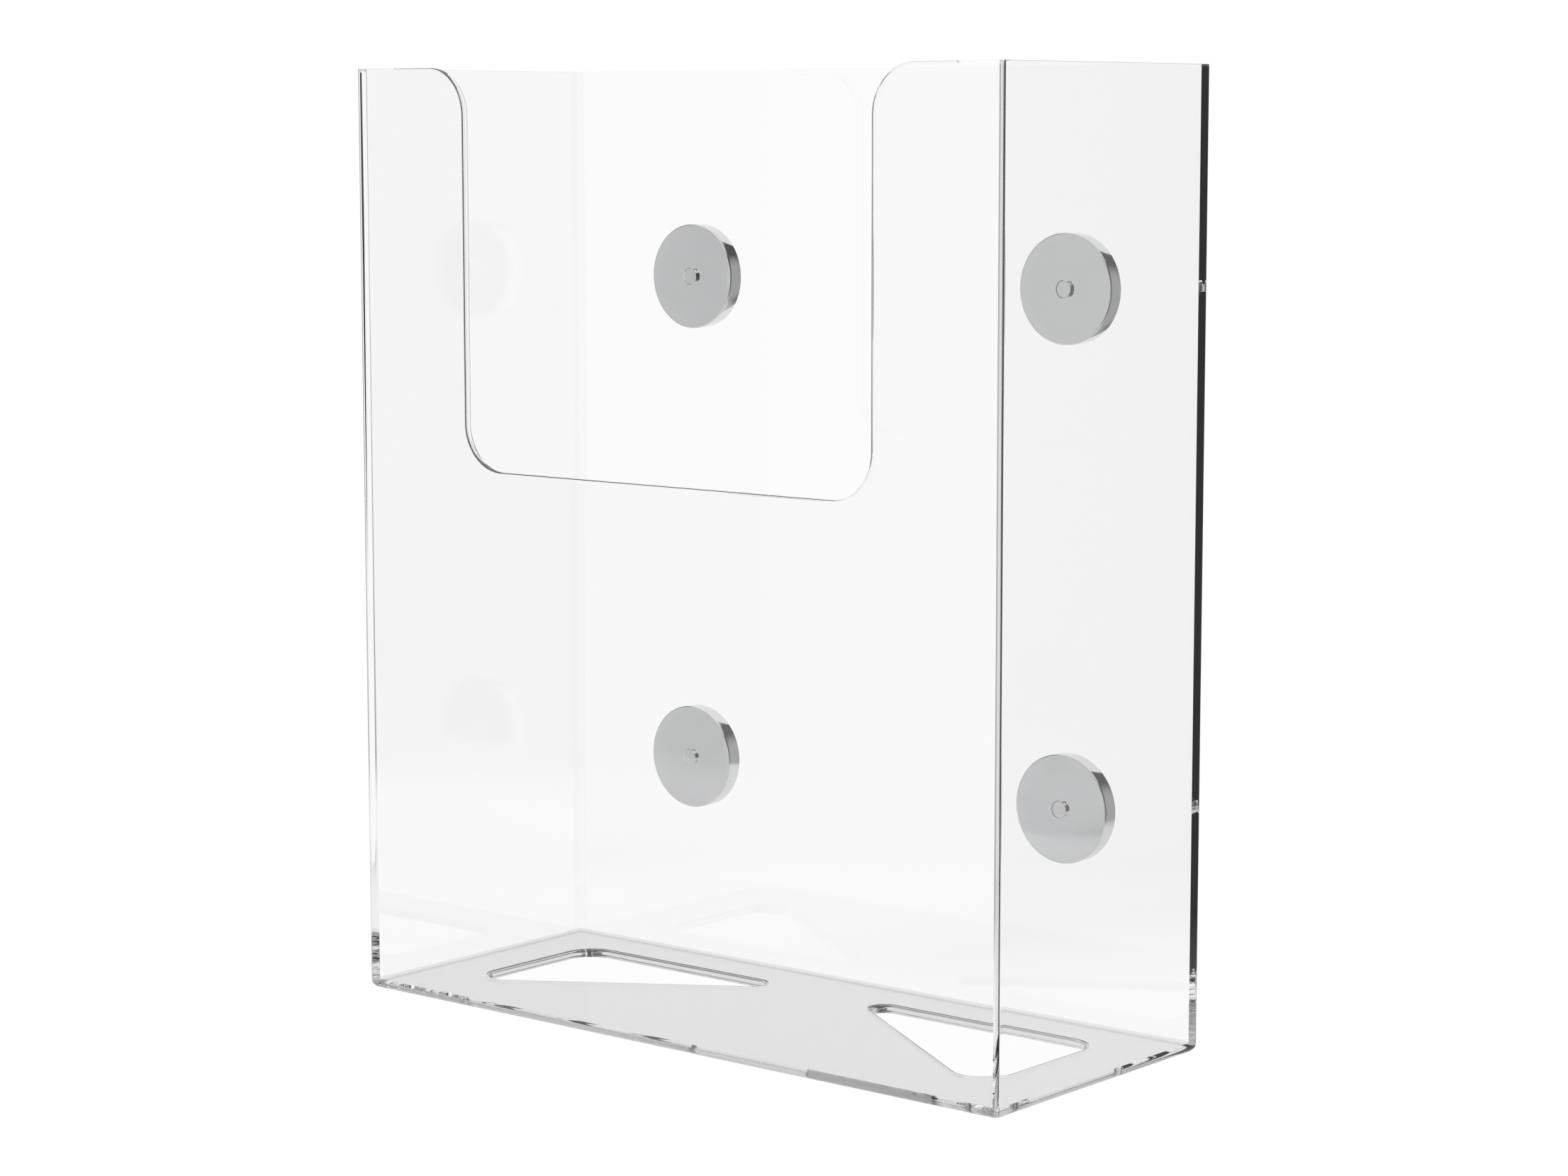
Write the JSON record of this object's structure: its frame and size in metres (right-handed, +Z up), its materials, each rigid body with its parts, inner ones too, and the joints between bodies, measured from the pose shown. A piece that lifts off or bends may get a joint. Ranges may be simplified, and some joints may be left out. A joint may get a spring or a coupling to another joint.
{
  "type": "magazine rack",
  "caption": "Clear acrylic magazine rack with an open top and a cut-away front, hung on a steel board by pot magnets behind its back panel.",
  "frame": {"origin": "centre of the bounding box on the plane the rack stands on, magnets included", "axes": "+X to the right seen from the front, +Y towards the board it hangs on, +Z up"},
  "size_m": [0.257, 0.1084, 0.3],
  "materials": {
    "acrylic": "clear, polished faces and edges",
    "polished_steel": "bright polished plate",
    "ferrite": "matt sintered ferrite",
    "potting_resin": "cast black resin"
  },
  "bodies": {
    "root": {"base_plate": "acrylic", "front_panel": "acrylic", "back_panel": "acrylic", "left_side_panel": "acrylic", "right_side_panel": "acrylic", "magnet_cup_lower_left": "polished_steel", "magnet_stud_lower_left": "polished_steel", "ring_magnet_lower_left": "ferrite", "potting_ring_lower_left": "potting_resin", "magnet_cup_lower_right": "polished_steel", "magnet_stud_lower_right": "polished_steel", "ring_magnet_lower_right": "ferrite", "potting_ring_lower_right": "potting_resin", "magnet_cup_upper_left": "polished_steel", "magnet_stud_upper_left": "polished_steel", "ring_magnet_upper_left": "ferrite", "potting_ring_upper_left": "potting_resin", "magnet_cup_upper_right": "polished_steel", "magnet_stud_upper_right": "polished_steel", "ring_magnet_upper_right": "ferrite", "potting_ring_upper_right": "potting_resin"}
  },
  "joints": []
}
